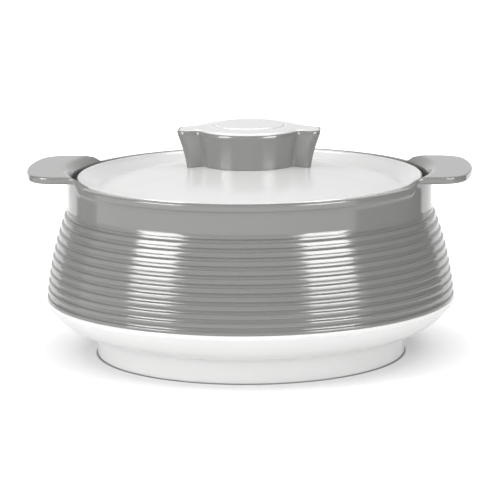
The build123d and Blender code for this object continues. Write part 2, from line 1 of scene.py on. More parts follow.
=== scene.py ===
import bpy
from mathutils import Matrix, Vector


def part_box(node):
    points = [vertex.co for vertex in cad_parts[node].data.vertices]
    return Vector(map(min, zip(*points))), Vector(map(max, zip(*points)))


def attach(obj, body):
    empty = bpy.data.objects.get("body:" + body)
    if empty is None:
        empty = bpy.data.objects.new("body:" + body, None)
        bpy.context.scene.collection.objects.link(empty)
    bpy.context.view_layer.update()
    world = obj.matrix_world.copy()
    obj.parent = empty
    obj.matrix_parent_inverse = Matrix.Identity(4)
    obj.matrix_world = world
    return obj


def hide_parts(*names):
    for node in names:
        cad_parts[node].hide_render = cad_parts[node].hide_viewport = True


bl_info = {
    "name": "Insulated Casserole",
    "version": (1, 0, 0),
    "blender": (4, 5, 0),
    "location": "3D Viewport > Sidebar > Casserole",
    "description": "Builds a double-walled chapati casserole around its packed frame",
    "category": "Add Mesh",
}

from math import acos, asin, atan2, cos, hypot, pi, radians, sin, sqrt

import bpy
from bpy.props import FloatProperty, FloatVectorProperty, PointerProperty
from mathutils import Matrix, Vector
from mathutils.kdtree import KDTree

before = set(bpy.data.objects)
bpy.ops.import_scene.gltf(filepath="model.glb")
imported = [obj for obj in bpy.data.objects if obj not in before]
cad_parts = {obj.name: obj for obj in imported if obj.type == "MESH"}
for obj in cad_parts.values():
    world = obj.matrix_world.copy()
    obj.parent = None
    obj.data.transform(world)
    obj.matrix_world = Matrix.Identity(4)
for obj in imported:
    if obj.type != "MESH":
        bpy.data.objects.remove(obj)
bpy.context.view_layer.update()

MM = 0.001
WELD = 0.01 * MM

# Shared places in millimetres: heights above the table and radii about the casserole's axis
SEAM_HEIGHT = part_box("outer_body")[0].z / MM
EAR_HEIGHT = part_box("outer_body")[1].z / MM
EAR_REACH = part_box("outer_body")[1].x / MM
BODY_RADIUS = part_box("base_dish")[1].x / MM
LID_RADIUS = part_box("lid_cover")[1].x / MM
KNOB_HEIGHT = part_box("knob_body")[1].z / MM
DISC_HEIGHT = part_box("knob_disc")[1].z / MM

# The grey body: ribbed wall, neck, rim, and the ledge on which the bowl hangs
RIB_TOP_HEIGHT = 86.0
RIB_TOP_RADIUS = 111.0
FLARE_RADIUS = 186.0
FLARE_END_RADIUS = 122.5
NECK_CURVE_TOP = 91.3
NECK_RADIUS = 109.6
RIM_HEIGHT = 107.9
RIM_RADIUS = 110.3
RIM_OPENING_RADIUS = 106.6
RIM_LIP_TOP = RIM_HEIGHT - 0.6
RIM_LIP_BOTTOM = RIM_HEIGHT - 1.6
UNDERCUT_TOP = RIM_HEIGHT - 3.2
UNDERCUT_RADIUS = 108.1
LEDGE_HEIGHT = 95.6
LEDGE_RADIUS = 101.8
SHELL_WALL = 2.4

# The ears: plan of their outer edge, and the ramp from the rim's inner edge up to them
EAR_HALF_WIDTH = 43.2
EAR_CORNER_RADIUS = 16.5
EAR_NOSE_DROP = 8.05
EAR_ROOT_RADIUS = 7.0
FLANK_START = 42.7
FLANK_RUN = 9.5
RAMP_RUN = 5.2
RAMP_BULGE = 0.8
CREASE = 0.8

# Small roundings of the body's section, and their share of the room where it is tight
LIP_ROUNDING = 0.3
LOWER_EDGE_SHARE = 0.75
HOLLOW_RADIUS = 0.8
HOLLOW_SHARE = 0.6
RAMP_ROWS_RUN = 7.0
RAMP_ROWS_SHARE = 0.72

# Columns on each stretch of a quarter of the body, from the middle of an ear to the front
NOSE_COLUMNS = 12
CORNER_COLUMNS = 18
SIDE_COLUMNS = 6
ROOT_COLUMNS = 10
FLANK_COLUMNS = 10
RING_COLUMNS = 38
FLANK_END_ANGLE = radians(30)

# The white base dish and its plug
DISH_RADIUS = 40.5
FOOT_RADIUS = 93.0
FOOT_HEIGHT = 14.3
SPIGOT_INSET = 2.6
SPIGOT_TOP = SEAM_HEIGHT + 6
GROOVE_TOP = 33.2
GROOVE = ((0.05, -0.58), (0.45, -0.38), (0.5, -0.3), (0.45, -0.22), (0.05, 0.0), (0.0, 0.2))
PLUG_RADIUS = 7.0
PLUG_GAP = 0.1
PLUG_HEAD_RADIUS = 9.0
PLUG_HEAD_THICKNESS = 1.4

# The steel bowl
BOWL_FLOOR_HEIGHT = 27.0
BOWL_FLOOR_RADIUS = 91.0
BOWL_CORNER_RADIUS = 14.0
BOWL_MOUTH_RADIUS = 97.6
BOWL_FLANGE_RADIUS = 106.0
BOWL_FLANGE_TOP = 96.2
BOWL_STEEL = 0.6

# The lid: cover with lip, channel and dome, the liner under it, and the seal
DOME_HEIGHT = 115.7
SHOULDER_RADIUS = 87.5
SHOULDER_HEIGHT = 103.2
LID_FLOOR_RADIUS = 91.0
LID_FLOOR_HEIGHT = 101.4
LID_LIP_HEIGHT = 108.25
LID_LIP_ROUNDING = 1.1
COVE_SAG = 1.1
COVER_WALL = 2.2
SKIRT_SETBACK = 0.9
SKIRT_HEIGHT = 104.2
HUB_RADIUS = 24.0
HUB_DEPTH = 1.4
LINER_WALL = 2.0
LINER_RADIUS = 95.2
LINER_TOP_RADIUS = 96.05
LINER_BOTTOM = 85.8
LINER_FLANGE_BOTTOM = 97.8
LINER_FLANGE_TOP = 99.8
LINER_FLANGE_RADIUS = 101.2
LINER_RING_RADII = (34.0, 66.0)
LINER_RING_WIDTH = 2.4
LINER_RING_DEPTH = 1.2
SEAL_RADII = (100.2, 103.4)


# ---------------- sizes, finishes and light to change


class CasseroleSizes(bpy.types.PropertyGroup):
    rib_pitch: FloatProperty(
        name="Rib Pitch", description="Distance from one rib to the next",
        default=4.9 * MM, unit="LENGTH",
    )
    rib_rise: FloatProperty(
        name="Rib Rise", description="How far a rib stands out of the wall",
        default=0.45 * MM, unit="LENGTH",
    )
    rib_dip: FloatProperty(
        name="Rib Dip", description="How far the wall dips between ribs",
        default=0.7 * MM, unit="LENGTH",
    )
    ear_thickness: FloatProperty(
        name="Ear Thickness", description="Thickness of the ears and the rim",
        default=4.2 * MM, unit="LENGTH",
    )
    edge_radius: FloatProperty(
        name="Edge Radius", description="Rounding of the ears' outer edges",
        default=1.2 * MM, unit="LENGTH",
    )
    knob_edge: FloatProperty(
        name="Knob Edge", description="Rounding of the knob's top edge",
        default=1.3 * MM, unit="LENGTH",
    )


class CasseroleFinishes(bpy.types.PropertyGroup):
    grey: FloatVectorProperty(
        name="Grey Plastic", description="Colour of the body and the knob", subtype="COLOR",
        default=(0.238, 0.238, 0.231), min=0, max=1,
    )
    white: FloatVectorProperty(
        name="White Plastic", description="Colour of the lid and the base", subtype="COLOR",
        default=(0.89, 0.89, 0.885), min=0, max=1,
    )
    steel: FloatVectorProperty(
        name="Steel", description="Colour of the bowl", subtype="COLOR",
        default=(0.72, 0.72, 0.71), min=0, max=1,
    )
    silicone: FloatVectorProperty(
        name="Silicone", description="Colour of the lid's seal", subtype="COLOR",
        default=(0.62, 0.62, 0.60), min=0, max=1,
    )
    foam: FloatVectorProperty(
        name="Foam", description="Colour of the insulating foam", subtype="COLOR",
        default=(0.80, 0.72, 0.45), min=0, max=1,
    )


class CasseroleStudio(bpy.types.PropertyGroup):
    surround: FloatProperty(
        name="Surround", description="Level of the even light from all round", default=0.42, min=0,
    )
    strip_brightness: FloatProperty(
        name="Strip Brightness", description="How bright the two strip lights show in gloss",
        default=17.0, min=0,
    )
    side_brightness: FloatProperty(
        name="Side Brightness", description="Light that falls on the casserole from left and right",
        default=3.3, min=0,
    )
    front_brightness: FloatProperty(
        name="Front Brightness", description="Brightness of the large soft light in front",
        default=1.35, min=0,
    )


# ---------------- outlines


def spread(start, end, count):
    """Even steps from start to end, both included."""
    return [start + (end - start) * i / (count - 1) for i in range(count)]


def polar(radius, turn, centre=(0.0, 0.0)):
    """Point at a radius and an angle, in radians, from a centre."""
    return centre[0] + radius * cos(turn), centre[1] + radius * sin(turn)


def arc(centre, radius, start, end, steps):
    """Points on an arc between two angles, in radians, both ends included."""
    return [polar(radius, turn, centre) for turn in spread(start, end, steps + 1)]


def arc_radius(half_chord, sag):
    """Radius of an arc from half its chord and how far its middle stands off the chord."""
    return (half_chord**2 + sag**2) / (2 * sag)


def arc_centre(start, end, radius):
    """Centre of the arc from start to end that bulges away from the axis."""
    along = Vector(end) - Vector(start)
    half = along.length / 2
    reach = sqrt(radius**2 - half**2) / (2 * half)
    middle = (Vector(start) + Vector(end)) / 2
    return middle.x + along.y * reach, middle.y - along.x * reach


def rounded(corners, step=12.0):
    """Outline through (x, y, rounding) corners; step is the turn between arc points, in degrees."""
    points = []
    for index, (x, y, radius) in enumerate(corners):
        if radius == 0 or index in (0, len(corners) - 1):
            points.append((x, y))
            continue
        here = Vector((x, y))
        back = (Vector(corners[index - 1][:2]) - here).normalized()
        ahead = (Vector(corners[index + 1][:2]) - here).normalized()
        half = acos(max(-1.0, min(1.0, back.dot(ahead)))) / 2
        centre = here + (back + ahead).normalized() * radius / sin(half)
        slope = sin(half) / cos(half)
        first, last = here + back * radius / slope, here + ahead * radius / slope
        start = atan2(first.y - centre.y, first.x - centre.x)
        turn = atan2(last.y - centre.y, last.x - centre.x) - start
        turn = (turn + pi) % (2 * pi) - pi
        points += arc(centre, radius, start, start + turn, max(3, round(abs(turn) / radians(step))))
    return points


def soft_join(*corners):
    """Quadratic spline along a line of corners, both ends included."""
    points = [Vector(corners[0])]
    middles = [Vector(a).lerp(Vector(b), 0.5) for a, b in zip(corners, corners[1:])]
    middles[0], middles[-1] = Vector(corners[0]), Vector(corners[-1])
    for index, corner in enumerate(corners[1:-1]):
        start, end, pull = middles[index], middles[index + 1], Vector(corner)
        for t in spread(0.0, 1.0, 7)[1:]:
            points.append(start * (1 - t) ** 2 + pull * 2 * t * (1 - t) + end * t**2)
    return [(point.x, point.y) for point in points]


FLARE_CENTRE = arc_centre(
    (RIB_TOP_RADIUS, RIB_TOP_HEIGHT), (FLARE_END_RADIUS, SEAM_HEIGHT), FLARE_RADIUS
)
DISH_CENTRE = arc_centre((BODY_RADIUS, GROOVE_TOP - 0.6), (FOOT_RADIUS, FOOT_HEIGHT), DISH_RADIUS)
RAMP_RADIUS = arc_radius(hypot(RAMP_RUN, EAR_HEIGHT - RIM_HEIGHT) / 2, RAMP_BULGE)
RAMP_CENTRE = arc_centre(
    (RIM_OPENING_RADIUS, RIM_HEIGHT), (RIM_OPENING_RADIUS + RAMP_RUN, EAR_HEIGHT), RAMP_RADIUS
)


def flare(height, inset=0.0):
    """Point of the flared wall at a height, moved inwards by inset."""
    radius = FLARE_RADIUS - inset
    return FLARE_CENTRE[0] + sqrt(radius**2 - (height - FLARE_CENTRE[1]) ** 2), height


def dish(radius, inset=0.0):
    """Point of the dish's curved wall at a radius, moved inwards by inset."""
    curve = DISH_RADIUS - inset
    return radius, DISH_CENTRE[1] - sqrt(curve**2 - (radius - DISH_CENTRE[0]) ** 2)


def dome(radius, inset=0.0):
    """Point of the lid's dome at a radius, moved inwards by inset."""
    ball = arc_radius(SHOULDER_RADIUS, DOME_HEIGHT - SHOULDER_HEIGHT)
    return radius, DOME_HEIGHT - ball + sqrt((ball - inset) ** 2 - radius**2)


# ---------------- modelling by hand, in code


def deselect_all():
    if bpy.context.object and bpy.context.object.mode != "OBJECT":
        bpy.ops.object.mode_set(mode="OBJECT")
    bpy.ops.object.select_all(action="DESELECT")


def add_plane(name, size):
    deselect_all()
    bpy.ops.mesh.primitive_plane_add(size=size, location=(0, 0, 0))
    plane = bpy.context.object
    plane.name = plane.data.name = name
    return plane


def draw_outline(name, points):
    """New object, left in edit mode: one line of edges through (radius, height) points."""
    piece = add_plane(name, MM)
    bpy.ops.object.mode_set(mode="EDIT")
    bpy.ops.mesh.select_all(action="SELECT")
    bpy.ops.mesh.merge(type="CENTER")
    bpy.ops.transform.translate(value=(points[0][0] * MM, 0, points[0][1] * MM))
    for before, point in zip(points, points[1:]):
        step = ((point[0] - before[0]) * MM, 0, (point[1] - before[1]) * MM)
        bpy.ops.mesh.extrude_region_move(TRANSFORM_OT_translate={"value": step})
    return piece


def weld():
    """Merges points that lie on each other and turns the faces outwards, in edit mode."""
    bpy.ops.mesh.select_all(action="SELECT")
    bpy.ops.mesh.remove_doubles(threshold=WELD)
    bpy.ops.mesh.select_all(action="SELECT")
    bpy.ops.mesh.normals_make_consistent(inside=False)


def smooth(piece, angle):
    """Smooth shading that keeps edges sharper than the angle, in degrees."""
    deselect_all()
    piece.select_set(True)
    bpy.context.view_layer.objects.active = piece
    bpy.ops.object.shade_smooth_by_angle(angle=radians(angle))


def turn_outline(name, points, steps=192, angle=38.0):
    """Closed shell turned about the axis from a closed outline of (radius, height) points."""
    piece = draw_outline(name, [*points, points[0]])
    weld()
    bpy.ops.mesh.spin(steps=steps, angle=2 * pi, center=(0, 0, 0), axis=(0, 0, 1), use_auto_merge=True)
    weld()
    smooth(piece, angle)
    return piece


# ---------------- finishes


def set_inputs(tree, node, inputs):
    """Sets inputs of a shader node by name or number: to a value, or linked to another's output."""
    for name, value in inputs.items():
        if isinstance(value, bpy.types.NodeSocket):
            tree.links.new(value, node.inputs[name])
        else:
            node.inputs[name].default_value = value


def add_node(tree, kind, inputs, **settings):
    """Adds a shader node with its settings and inputs, and returns its outputs."""
    node = tree.nodes.new(kind)
    for name, value in settings.items():
        setattr(node, name, value)
    set_inputs(tree, node, inputs)
    return node.outputs


def start_finish(name):
    """New material: the material, its node tree, its shader, and object coordinates in metres."""
    material = bpy.data.materials.new(name)
    material.use_nodes = True
    tree = material.node_tree
    place = tree.nodes.new("ShaderNodeTexCoord").outputs["Object"]
    return material, tree, tree.nodes["Principled BSDF"], place


def noise(tree, place, scale, detail=2.0):
    inputs = {"Vector": place, "Scale": scale, "Detail": detail}
    return add_node(tree, "ShaderNodeTexNoise", inputs)["Fac"]


def vector_math(tree, operation, *vectors):
    return add_node(tree, "ShaderNodeVectorMath", dict(enumerate(vectors)), operation=operation)


def number_math(tree, operation, *numbers):
    return add_node(tree, "ShaderNodeMath", dict(enumerate(numbers)), operation=operation)["Value"]


def map_range(tree, source, near, far, start, end):
    """A number that runs from start to end while the source runs from near to far."""
    inputs = {"Value": source, "From Min": near, "From Max": far, "To Min": start, "To Max": end}
    return add_node(tree, "ShaderNodeMapRange", inputs)["Result"]


def vary(tree, pattern, low, high):
    """A number that follows the pattern's middle range between two values."""
    return map_range(tree, pattern, 0.3, 0.7, low, high)


def tint(tree, pattern, colour, share):
    """The colour, a little darker and lighter with the pattern."""
    inputs = {
        "Factor": pattern,
        "A": (*[c * (1 - share) for c in colour], 1),
        "B": (*[min(1.0, c * (1 + share)) for c in colour], 1),
    }
    return add_node(tree, "ShaderNodeMix", inputs, data_type="RGBA")["Result"]


def bump(tree, pattern, depth, strength):
    inputs = {"Height": pattern, "Distance": depth, "Strength": strength}
    return add_node(tree, "ShaderNodeBump", inputs)["Normal"]


def moulded_plastic(name, colour, low, high):
    """Polished moulding: faint clouds in the pigment, uneven gloss and a very fine texture."""
    material, tree, shader, place = start_finish(name)
    set_inputs(tree, shader, {
        "Base Color": tint(tree, noise(tree, place, 28.0), colour, 0.018),
        "Roughness": vary(tree, noise(tree, place, 60.0, 4.0), low, high),
        "Normal": bump(tree, noise(tree, place, 900.0, 3.0), 0.02 * MM, 0.12),
        "IOR": 1.49,
    })
    return material


def brushed_steel(name, colour, low, high):
    """Steel spun on a lathe: fine rings about the axis."""
    material, tree, shader, place = start_finish(name)
    height = add_node(tree, "ShaderNodeSeparateXYZ", {"Vector": place})["Z"]
    flat = vector_math(tree, "MULTIPLY", place, (1, 1, 0))["Vector"]
    radius = vector_math(tree, "LENGTH", flat)["Value"]
    around = add_node(tree, "ShaderNodeCombineXYZ", {"X": radius, "Y": height})["Vector"]
    rings = noise(tree, around, 2600.0, 3.0)
    set_inputs(tree, shader, {
        "Base Color": tint(tree, noise(tree, place, 30.0), colour, 0.03),
        "Roughness": vary(tree, rings, low, high),
        "Normal": bump(tree, rings, 0.01 * MM, 0.25),
        "Metallic": 1.0,
        "Anisotropic": 0.6,
    })
    return material


def soft_silicone(name, colour):
    material, tree, shader, place = start_finish(name)
    set_inputs(tree, shader, {
        "Base Color": tint(tree, noise(tree, place, 90.0), colour, 0.04),
        "Roughness": vary(tree, noise(tree, place, 300.0), 0.42, 0.6),
        "Normal": bump(tree, noise(tree, place, 2500.0), 0.02 * MM, 0.3),
    })
    return material


def rigid_foam(name, colour):
    """Cut polyurethane foam: closed cells of about a millimetre."""
    material, tree, shader, place = start_finish(name)
    cells = add_node(tree, "ShaderNodeTexVoronoi", {"Vector": place, "Scale": 900.0})["Distance"]
    set_inputs(tree, shader, {
        "Base Color": tint(tree, noise(tree, place, 120.0), colour, 0.10),
        "Roughness": 0.9,
        "Normal": bump(tree, cells, 0.3 * MM, 0.6),
    })
    return material


FINISHES = {}


def finish(slot):
    """The material of one of the record's slots; all are made at the first call."""
    if slot not in FINISHES:
        colours = bpy.context.scene.casserole_finishes
        FINISHES.update({
            "grey_plastic": moulded_plastic("grey_plastic", colours.grey, 0.10, 0.15),
            "white_plastic": moulded_plastic("white_plastic", colours.white, 0.18, 0.25),
            "steel": brushed_steel("bowl_steel", colours.steel, 0.22, 0.38),
            "screw_steel": brushed_steel("screw_steel", colours.steel, 0.30, 0.42),
            "silicone": soft_silicone("seal_silicone", colours.silicone),
            "foam": rigid_foam("insulating_foam", colours.foam),
        })
    return FINISHES[slot]


def dress(piece, slot):
    """Gives a piece the material of one of the record's slots."""
    piece.data.materials.clear()
    piece.data.materials.append(finish(slot))


def finish_piece(piece, slot, body, node):
    """Gives a new piece its material and its body, and hides the frame's node that it stands for."""
    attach(piece, body)
    dress(piece, slot)
    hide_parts(node)


# ---------------- the grey body


def band_top(y):
    """Height of the rim and the ears across the casserole: ear, S-shaped flank, rim."""
    half_run = FLANK_RUN / 2
    bend = arc_radius(half_run, (EAR_HEIGHT - RIM_HEIGHT) / 2)
    past = min(max(abs(y) - FLANK_START, 0.0), FLANK_RUN)
    if past <= half_run:
        return EAR_HEIGHT - (bend - sqrt(bend**2 - past**2))
    return RIM_HEIGHT + (bend - sqrt(bend**2 - (FLANK_RUN - past) ** 2))


def ramp(radius):
    """Height of the ramp that leads from the rim's inner edge up to the ears."""
    past = min(radius, RAMP_CENTRE[0]) - RAMP_CENTRE[0]
    return RAMP_CENTRE[1] + sqrt(max(RAMP_RADIUS**2 - past**2, 0.0))


def band_surface(x, y):
    """Height of the upper face of the rim and the ears, with a softened crease at the ramp."""
    level, slope = band_top(y), ramp(hypot(x, y))
    near = max(CREASE - abs(level - slope), 0.0) / CREASE
    return min(level, slope) - near * near * CREASE / 4


def body_quarter():
    """Columns of a quarter of the body: outline point, its outward direction, the neck's angle."""
    nose_radius = arc_radius(EAR_HALF_WIDTH, EAR_NOSE_DROP)
    nose_x = EAR_REACH - nose_radius
    corner_y = EAR_HALF_WIDTH - EAR_CORNER_RADIUS
    corner_x = nose_x + sqrt((nose_radius - EAR_CORNER_RADIUS) ** 2 - corner_y**2)
    nose_turn = asin(corner_y / (nose_radius - EAR_CORNER_RADIUS))
    root_y = EAR_HALF_WIDTH + EAR_ROOT_RADIUS
    root_x = sqrt((RIM_RADIUS + EAR_ROOT_RADIUS) ** 2 - root_y**2)
    root_turn = atan2(root_y, root_x)

    def bend(centre, radius, start, end, columns):
        return [(*polar(radius, turn, centre), turn) for turn in spread(start, end, columns + 1)]

    outline = bend((nose_x, 0.0), nose_radius, 0.0, nose_turn, NOSE_COLUMNS)[:-1]
    outline += bend((corner_x, corner_y), EAR_CORNER_RADIUS, nose_turn, pi / 2, CORNER_COLUMNS)[:-1]
    outline += [(x, EAR_HALF_WIDTH, pi / 2) for x in spread(corner_x, root_x, SIDE_COLUMNS + 1)[:-1]]
    outline += bend((root_x, root_y), -EAR_ROOT_RADIUS, pi / 2, root_turn, ROOT_COLUMNS)
    lengths = [0.0]
    for before, point in zip(outline, outline[1:]):
        lengths.append(lengths[-1] + hypot(point[0] - before[0], point[1] - before[1]))
    columns = [(*point, root_turn * length / lengths[-1]) for point, length in zip(outline, lengths)]
    turns = spread(root_turn, FLANK_END_ANGLE, FLANK_COLUMNS + 1)[1:]
    turns += spread(FLANK_END_ANGLE, pi / 2, RING_COLUMNS + 1)[1:]
    return columns + [(*polar(RIM_RADIUS, turn), turn, turn) for turn in turns]


def rib_heights(pitch, rise, dip):
    """(height, stand-out) steps down the ribbed wall: square ribs with soft edges."""
    # One rib and the dip under it: (share of the pitch, stand-out)
    wave = (
        (-0.05, -dip), (-0.02, -0.6 * dip), (0.0, 0.25 * rise), (0.03, 0.78 * rise), (0.07, 0.96 * rise),
        (0.17, rise), (0.27, 1.04 * rise), (0.37, rise), (0.47, 0.96 * rise), (0.51, 0.78 * rise),
        (0.54, 0.25 * rise), (0.56, -0.6 * dip), (0.59, -dip), (0.77, -1.1 * dip),
    )
    steps = []
    for rib in range(-1, int((RIB_TOP_HEIGHT - SEAM_HEIGHT) / pitch) + 1):
        for phase, out in wave:
            height = RIB_TOP_HEIGHT - (rib + phase) * pitch
            if SEAM_HEIGHT + 0.35 < height < RIB_TOP_HEIGHT + 0.5 * pitch:
                steps.append((height, out))
    return steps


def body_wall(pitch, rise, dip):
    """Outside of the wall: its edge at the seam, the ribs, and the cove that leads into the neck."""
    edge = ((0.0, 0.5), (0.1, 0.2), (0.3, 0.0))
    seam = [(flare(SEAM_HEIGHT + z, -rise)[0] - back, SEAM_HEIGHT + z) for z, back in edge]
    ribs = [flare(height, -out) for height, out in rib_heights(pitch, rise, dip)]
    foot = RIB_TOP_HEIGHT + 0.53 * pitch
    curve = arc_radius(NECK_CURVE_TOP - foot, flare(foot, -0.95 * rise)[0] - NECK_RADIUS)
    cove = []
    for height in spread(foot, NECK_CURVE_TOP, 10)[:-1]:
        cove.append((NECK_RADIUS + curve - sqrt(curve**2 - (NECK_CURVE_TOP - height) ** 2), height))
    return seam + ribs[::-1] + cove


def body_inside():
    """Inside of the body from the rim down: undercut, ledge for the bowl, back of the wall."""
    inside = rounded([
        (RIM_OPENING_RADIUS, RIM_LIP_TOP, 0), (RIM_OPENING_RADIUS, RIM_LIP_BOTTOM, 0.5),
        (UNDERCUT_RADIUS, UNDERCUT_TOP, 0.8), (UNDERCUT_RADIUS, LEDGE_HEIGHT, 0.6),
        (LEDGE_RADIUS, LEDGE_HEIGHT, 0.4), (LEDGE_RADIUS, LEDGE_HEIGHT - SHELL_WALL, 0.4),
        (NECK_RADIUS - SHELL_WALL, LEDGE_HEIGHT - SHELL_WALL, 0.4),
        (*flare(RIB_TOP_HEIGHT, SHELL_WALL), 0),
    ])
    inside += [flare(height, SHELL_WALL) for height in spread(RIB_TOP_HEIGHT - 6, SEAM_HEIGHT, 9)]
    return inside


def body_section(column, sizes):
    """Closed section of the body in one column, as (x, y, height) points."""
    out_x, out_y, facing, turn = column
    pitch, rise, dip = sizes.rib_pitch / MM, sizes.rib_rise / MM, sizes.rib_dip / MM
    thickness, edge = sizes.ear_thickness / MM, sizes.edge_radius / MM
    away = Vector((cos(facing), sin(facing)))
    outside = Vector((out_x, out_y))
    neck = Vector(polar(NECK_RADIUS, turn))
    inner = Vector(polar(RIM_OPENING_RADIUS, turn))
    overhang = (outside - neck).length
    low_edge = min(edge, LOWER_EDGE_SHARE * overhang)
    hollow = min(HOLLOW_RADIUS, HOLLOW_SHARE * (overhang - low_edge))

    # Up the wall and the neck, and round a small hollow
    points = [(*polar(radius, turn), height) for radius, height in body_wall(pitch, rise, dip)]
    under = band_top(neck.y) - thickness
    points += [(*neck, height) for height in spread(NECK_CURVE_TOP, under - hollow, 5)]
    shelf = outside - away * low_edge
    along = (shelf - neck).normalized()
    for tilt in (30, 60):
        place = neck + along * hollow * (1 - cos(radians(tilt)))
        points.append((*place, under - hollow + hollow * sin(radians(tilt))))

    # Outwards under the rim or the ear, and round its outer edge
    for share in spread(0.0, 1.0, 8):
        place = neck + along * hollow + (shelf - neck - along * hollow) * share
        points.append((*place, band_top(place.y) - thickness))
    bottom = band_top(shelf.y) - thickness
    for tilt in range(18, 91, 18):
        place = shelf + away * low_edge * sin(radians(tilt))
        points.append((*place, bottom + low_edge * (1 - cos(radians(tilt)))))
    seat = outside - away * edge
    top = band_surface(*seat)
    points.append((*outside, (bottom + low_edge + top - edge) / 2))
    for tilt in range(0, 76, 15):
        place = seat + away * edge * cos(radians(tilt))
        points.append((*place, top - edge * (1 - sin(radians(tilt)))))

    # Inwards over the top, in closer rows on the ramp, round the lip and down the inside
    inwards = inner - seat
    run = inwards.length
    ramp_run = min(RAMP_ROWS_RUN, RAMP_ROWS_SHARE * run)
    rows = [(run - ramp_run) * share for share in (0.0, 0.04, 0.12, 0.3, 0.55, 0.8)]
    rows += [run - ramp_run * share for share in (*spread(1.0, 0.2, 9), 0.12, 0.06)]
    for distance in rows:
        place = seat + inwards * (distance / run)
        points.append((*place, band_surface(*place)))
    lip = band_surface(inner.x + LIP_ROUNDING * cos(turn), inner.y + LIP_ROUNDING * sin(turn))
    for tilt in (25, 50, 75):
        radius = RIM_OPENING_RADIUS + LIP_ROUNDING * (1 - sin(radians(tilt)))
        points.append((*polar(radius, turn), RIM_LIP_TOP + (lip - RIM_LIP_TOP) * cos(radians(tilt))))
    return points + [(*polar(radius, turn), height) for radius, height in body_inside()]


class CASSEROLE_OT_body(bpy.types.Operator):
    """Turn the ribbed body and pull the two ears out of its rim"""

    bl_idname = "casserole.body"
    bl_label = "Ribbed Body"

    def execute(self, context):
        sizes = context.scene.casserole_sizes
        quarter = body_quarter()
        steps = 4 * (len(quarter) - 1)
        front = body_section(quarter[-1], sizes)
        body = turn_outline("ribbed_body", [(y, z) for _, y, z in front], steps, 60.0)

        rows = KDTree(len(front))
        for index, (_, y, z) in enumerate(front):
            rows.insert((y, z, 0), index)
        rows.balance()
        sections = [body_section(column, sizes) for column in quarter]
        for vertex in body.data.vertices:
            x, y, z = vertex.co / MM
            column = round(atan2(y, x) / (2 * pi) * steps) % steps
            row = rows.find((hypot(x, y), z, 0))[1]
            half, place = divmod(column, steps // 2)
            if place > steps // 4:
                x, y, z = sections[steps // 2 - place][row]
                x = -x
            else:
                x, y, z = sections[place][row]
            if half:
                x, y = -x, -y
            vertex.co = (x * MM, y * MM, z * MM)
        smooth(body, 60.0)
        finish_piece(body, "grey_plastic", "casserole_body", "outer_body")
        return {"FINISHED"}


# ---------------- base, bowl and lid


class CASSEROLE_OT_base(bpy.types.Operator):
    """Turn the white base dish with its foot ring, and the plug in its middle"""

    bl_idname = "casserole.base"
    bl_label = "Base Dish"

    def execute(self, context):
        floor, hole = FOOT_HEIGHT - SHELL_WALL, PLUG_RADIUS + PLUG_GAP
        foot_inside = FOOT_RADIUS - SHELL_WALL
        spigot_low, spigot_high = flare(SEAM_HEIGHT, SPIGOT_INSET), flare(SPIGOT_TOP, SPIGOT_INSET)
        spigot_inner = spigot_high[0] - SHELL_WALL
        outline = rounded([
            (hole, floor, 0), (foot_inside, floor, 0.8), (foot_inside, 0, 0.5),
            (FOOT_RADIUS, 0, 1.1), (FOOT_RADIUS, FOOT_HEIGHT - 0.5, 0),
        ])
        outline[1:1] = [(radius, floor) for radius in (20.0, 45.0, 70.0)]
        outline += [dish(radius) for radius in spread(FOOT_RADIUS + 0.7, BODY_RADIUS - 0.4, 30)]
        outline.append(dish(BODY_RADIUS - 0.12))
        outline += [(BODY_RADIUS - depth, GROOVE_TOP + z) for depth, z in GROOVE]
        outline += rounded([
            (BODY_RADIUS, GROOVE_TOP + 0.9, 0), (BODY_RADIUS, SEAM_HEIGHT, 0.3), (*spigot_low, 0),
            (*spigot_high, 0), (spigot_inner, SPIGOT_TOP, 0), (*dish(spigot_inner, SHELL_WALL), 0),
        ])
        outline += [dish(radius, SHELL_WALL) for radius in spread(spigot_inner - 2, FOOT_RADIUS, 10)]
        outline += [(foot_inside, FOOT_HEIGHT), (hole, FOOT_HEIGHT)]
        base = turn_outline("base_dish_shell", outline, 320)
        finish_piece(base, "white_plastic", "casserole_body", "base_dish")

        head = floor - PLUG_HEAD_THICKNESS
        outline = rounded([
            (0, head, 0), (PLUG_HEAD_RADIUS, head, 0.5), (PLUG_HEAD_RADIUS, floor, 0),
            (PLUG_RADIUS, floor, 0), (PLUG_RADIUS, FOOT_HEIGHT, 0.3), (0, FOOT_HEIGHT, 0),
        ])
        plug = turn_outline("base_plug", outline, 64)
        finish_piece(plug, "white_plastic", "casserole_body", "base_fill_plug")
        return {"FINISHED"}


class CASSEROLE_OT_bowl(bpy.types.Operator):
    """Turn the pressed steel bowl with its rolled flange"""

    bl_idname = "casserole.bowl"
    bl_label = "Steel Bowl"

    def execute(self, context):
        floor, top = BOWL_FLOOR_HEIGHT, BOWL_FLANGE_TOP
        outline = rounded([
            (0, floor, 0), (BOWL_FLOOR_RADIUS, floor, BOWL_CORNER_RADIUS),
            (BOWL_MOUTH_RADIUS, top, 1.8), (BOWL_FLANGE_RADIUS, top, 0.2),
            (BOWL_FLANGE_RADIUS, top - BOWL_STEEL, 0.2),
            (BOWL_MOUTH_RADIUS + BOWL_STEEL, top - BOWL_STEEL, 1.2),
            (BOWL_FLOOR_RADIUS + BOWL_STEEL, floor - BOWL_STEEL, BOWL_CORNER_RADIUS + BOWL_STEEL),
            (0, floor - BOWL_STEEL, 0),
        ], 6.0)
        outline[1:1] = [(radius, floor) for radius in (20.0, 40.0, 60.0)]
        bowl = turn_outline("steel_bowl", outline, 256)
        finish_piece(bowl, "steel", "casserole_body", "inner_bowl")
        return {"FINISHED"}


